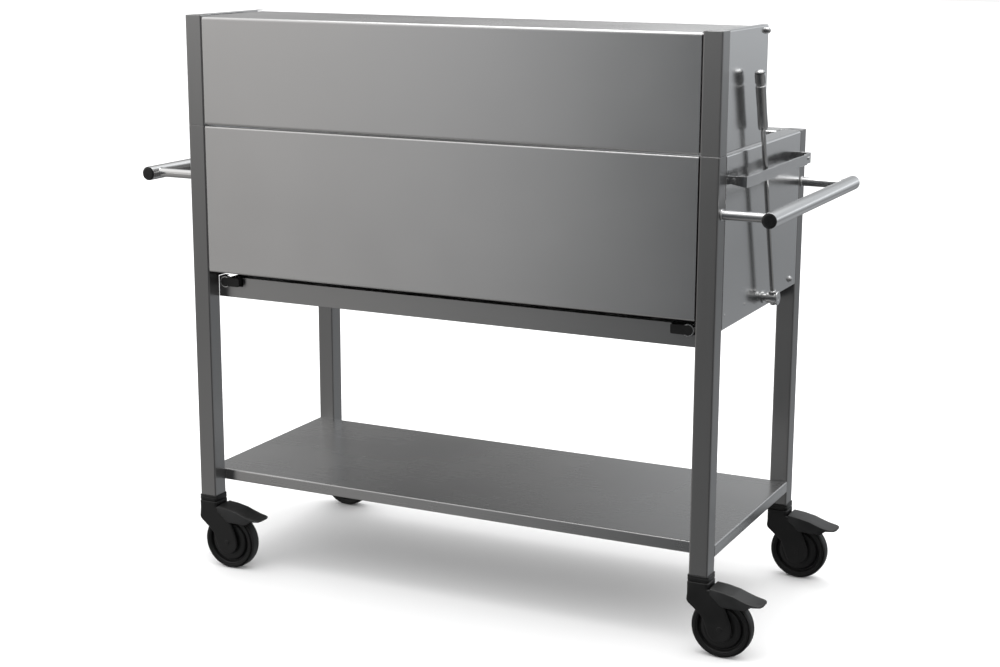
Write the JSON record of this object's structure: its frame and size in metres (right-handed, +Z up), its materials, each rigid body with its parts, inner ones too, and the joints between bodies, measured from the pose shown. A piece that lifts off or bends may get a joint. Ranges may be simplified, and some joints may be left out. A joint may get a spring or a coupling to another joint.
{
  "type": "charcoal grill cart",
  "caption": "Stainless steel charcoal grill on a braked caster cart, with a half-depth hood, lever-lifted charcoal tray, ash drawer, shelf and push handles.",
  "frame": {"origin": "on the floor, under the middle of the whole cart", "axes": "+Z up; +X along the length towards the end with the lift lever; +Y towards the cook, -Y is the tall closed back"},
  "size_m": [1.436, 0.575, 1.226],
  "materials": {
    "panel_steel": "lengthwise brushed",
    "frame_steel": "brushed tube",
    "handle_steel": "fine satin, bright",
    "fastener_steel": "turned",
    "grate_steel": "drawn rod",
    "firebox_steel": "dull mill sheet",
    "caster_plastic": "moulded",
    "pedal_plastic": "moulded, slate",
    "tyre_rubber": "smooth tread",
    "cap_plastic": "glossy"
  },
  "bodies": {
    "frame": {"caster_stems": "caster_plastic", "drawer_runners": "firebox_steel", "drawer_stop_rings": "fastener_steel", "drawer_stops": "caster_plastic", "end_panel_left": "panel_steel", "end_panel_right": "panel_steel", "firebox_liners": "firebox_steel", "front_panel": "panel_steel", "grate_ledges": "firebox_steel", "handle_arms": "handle_steel", "handle_bars": "handle_steel", "handle_caps": "cap_plastic", "lever_rack": "panel_steel", "panel_bolts": "fastener_steel", "post_front_left": "frame_steel", "post_front_right": "frame_steel", "post_rear_left": "frame_steel", "post_rear_right": "frame_steel", "rack_screws": "fastener_steel", "rear_beam": "frame_steel", "rear_panel": "panel_steel", "shaft_bushes": "fastener_steel", "shelf": "panel_steel"},
    "hood": {"hood_shell": "panel_steel", "hood_cheek_left": "panel_steel", "hood_cheek_right": "panel_steel", "hood_posts": "frame_steel", "hood_tie_rod": "fastener_steel", "hood_dome_nuts": "fastener_steel"},
    "lever": {"lift_shaft": "fastener_steel", "lever_hub": "handle_steel", "lever_end_disc": "handle_steel", "lever_rod": "handle_steel", "lever_grip": "handle_steel"},
    "tray": {"charcoal_tray": "firebox_steel"},
    "drawer": {"ash_drawer": "firebox_steel", "ash_drawer_front": "panel_steel"},
    "grate_body_left": {"grate_1": "grate_steel"},
    "grate_body_middle": {"grate_2": "grate_steel"},
    "grate_body_right": {"grate_3": "grate_steel"},
    "caster_rear_left": {"caster_fork_rear_left": "caster_plastic", "caster_axle_rear_left": "fastener_steel"},
    "wheel_rear_left": {"caster_wheel_rear_left": "caster_plastic", "caster_tyre_rear_left": "tyre_rubber"},
    "pedal_rear_left": {"caster_pedal_rear_left": "pedal_plastic"},
    "caster_rear_right": {"caster_fork_rear_right": "caster_plastic", "caster_axle_rear_right": "fastener_steel"},
    "wheel_rear_right": {"caster_wheel_rear_right": "caster_plastic", "caster_tyre_rear_right": "tyre_rubber"},
    "pedal_rear_right": {"caster_pedal_rear_right": "pedal_plastic"},
    "caster_front_left": {"caster_fork_front_left": "caster_plastic", "caster_axle_front_left": "fastener_steel"},
    "wheel_front_left": {"caster_wheel_front_left": "caster_plastic", "caster_tyre_front_left": "tyre_rubber"},
    "pedal_front_left": {"caster_pedal_front_left": "pedal_plastic"},
    "caster_front_right": {"caster_fork_front_right": "caster_plastic", "caster_axle_front_right": "fastener_steel"},
    "wheel_front_right": {"caster_wheel_front_right": "caster_plastic", "caster_tyre_front_right": "tyre_rubber"},
    "pedal_front_right": {"caster_pedal_front_right": "pedal_plastic"}
  },
  "joints": [
    {"name": "hood_lift_off", "type": "slide", "parent": "frame", "child": "hood", "axis": [0, 0, 1], "range_m": [0, 0.3]},
    {"name": "lever_tilt", "type": "hinge", "parent": "frame", "child": "lever", "pos_m": [0.62, 0.018, 0.675], "axis": [1, 0, 0], "range_deg": [-49, 20]},
    {"name": "tray_lift", "type": "slide", "parent": "frame", "child": "tray", "axis": [0, 0, 1], "range_m": [-0.065, 0.026]},
    {"name": "drawer_slide", "type": "slide", "parent": "frame", "child": "drawer", "axis": [0, 1, 0], "range_m": [0, 0.4]},
    {"name": "grate_left_lift_off", "type": "slide", "parent": "frame", "child": "grate_body_left", "axis": [0, 0, 1], "range_m": [0, 0.2]},
    {"name": "grate_middle_lift_off", "type": "slide", "parent": "frame", "child": "grate_body_middle", "axis": [0, 0, 1], "range_m": [0, 0.2]},
    {"name": "grate_right_lift_off", "type": "slide", "parent": "frame", "child": "grate_body_right", "axis": [0, 0, 1], "range_m": [0, 0.2]},
    {"name": "swivel_rear_left", "type": "hinge", "parent": "frame", "child": "caster_rear_left", "pos_m": [-0.58, -0.255, 0.154], "axis": [0, 0, 1], "continuous": true},
    {"name": "roll_rear_left", "type": "hinge", "parent": "caster_rear_left", "child": "wheel_rear_left", "pos_m": [-0.532, -0.255, 0.0625], "axis": [0, 1, 0], "continuous": true},
    {"name": "brake_rear_left", "type": "hinge", "parent": "caster_rear_left", "child": "pedal_rear_left", "pos_m": [-0.52, -0.255, 0.128], "axis": [0, 1, 0], "range_deg": [0, 10]},
    {"name": "swivel_rear_right", "type": "hinge", "parent": "frame", "child": "caster_rear_right", "pos_m": [0.58, -0.255, 0.154], "axis": [0, 0, 1], "continuous": true},
    {"name": "roll_rear_right", "type": "hinge", "parent": "caster_rear_right", "child": "wheel_rear_right", "pos_m": [0.628, -0.255, 0.0625], "axis": [0, 1, 0], "continuous": true},
    {"name": "brake_rear_right", "type": "hinge", "parent": "caster_rear_right", "child": "pedal_rear_right", "pos_m": [0.64, -0.255, 0.128], "axis": [0, 1, 0], "range_deg": [0, 10]},
    {"name": "swivel_front_left", "type": "hinge", "parent": "frame", "child": "caster_front_left", "pos_m": [-0.58, 0.255, 0.154], "axis": [0, 0, 1], "continuous": true},
    {"name": "roll_front_left", "type": "hinge", "parent": "caster_front_left", "child": "wheel_front_left", "pos_m": [-0.532, 0.255, 0.0625], "axis": [0, 1, 0], "continuous": true},
    {"name": "brake_front_left", "type": "hinge", "parent": "caster_front_left", "child": "pedal_front_left", "pos_m": [-0.52, 0.255, 0.128], "axis": [0, 1, 0], "range_deg": [0, 10]},
    {"name": "swivel_front_right", "type": "hinge", "parent": "frame", "child": "caster_front_right", "pos_m": [0.58, 0.255, 0.154], "axis": [0, 0, 1], "continuous": true},
    {"name": "roll_front_right", "type": "hinge", "parent": "caster_front_right", "child": "wheel_front_right", "pos_m": [0.628, 0.255, 0.0625], "axis": [0, 1, 0], "continuous": true},
    {"name": "brake_front_right", "type": "hinge", "parent": "caster_front_right", "child": "pedal_front_right", "pos_m": [0.64, 0.255, 0.128], "axis": [0, 1, 0], "range_deg": [0, 10]}
  ],
  "couplings": [
    {"joint": "tray_lift", "follows": "lever_tilt", "m_per_rad": 0.07}
  ]
}
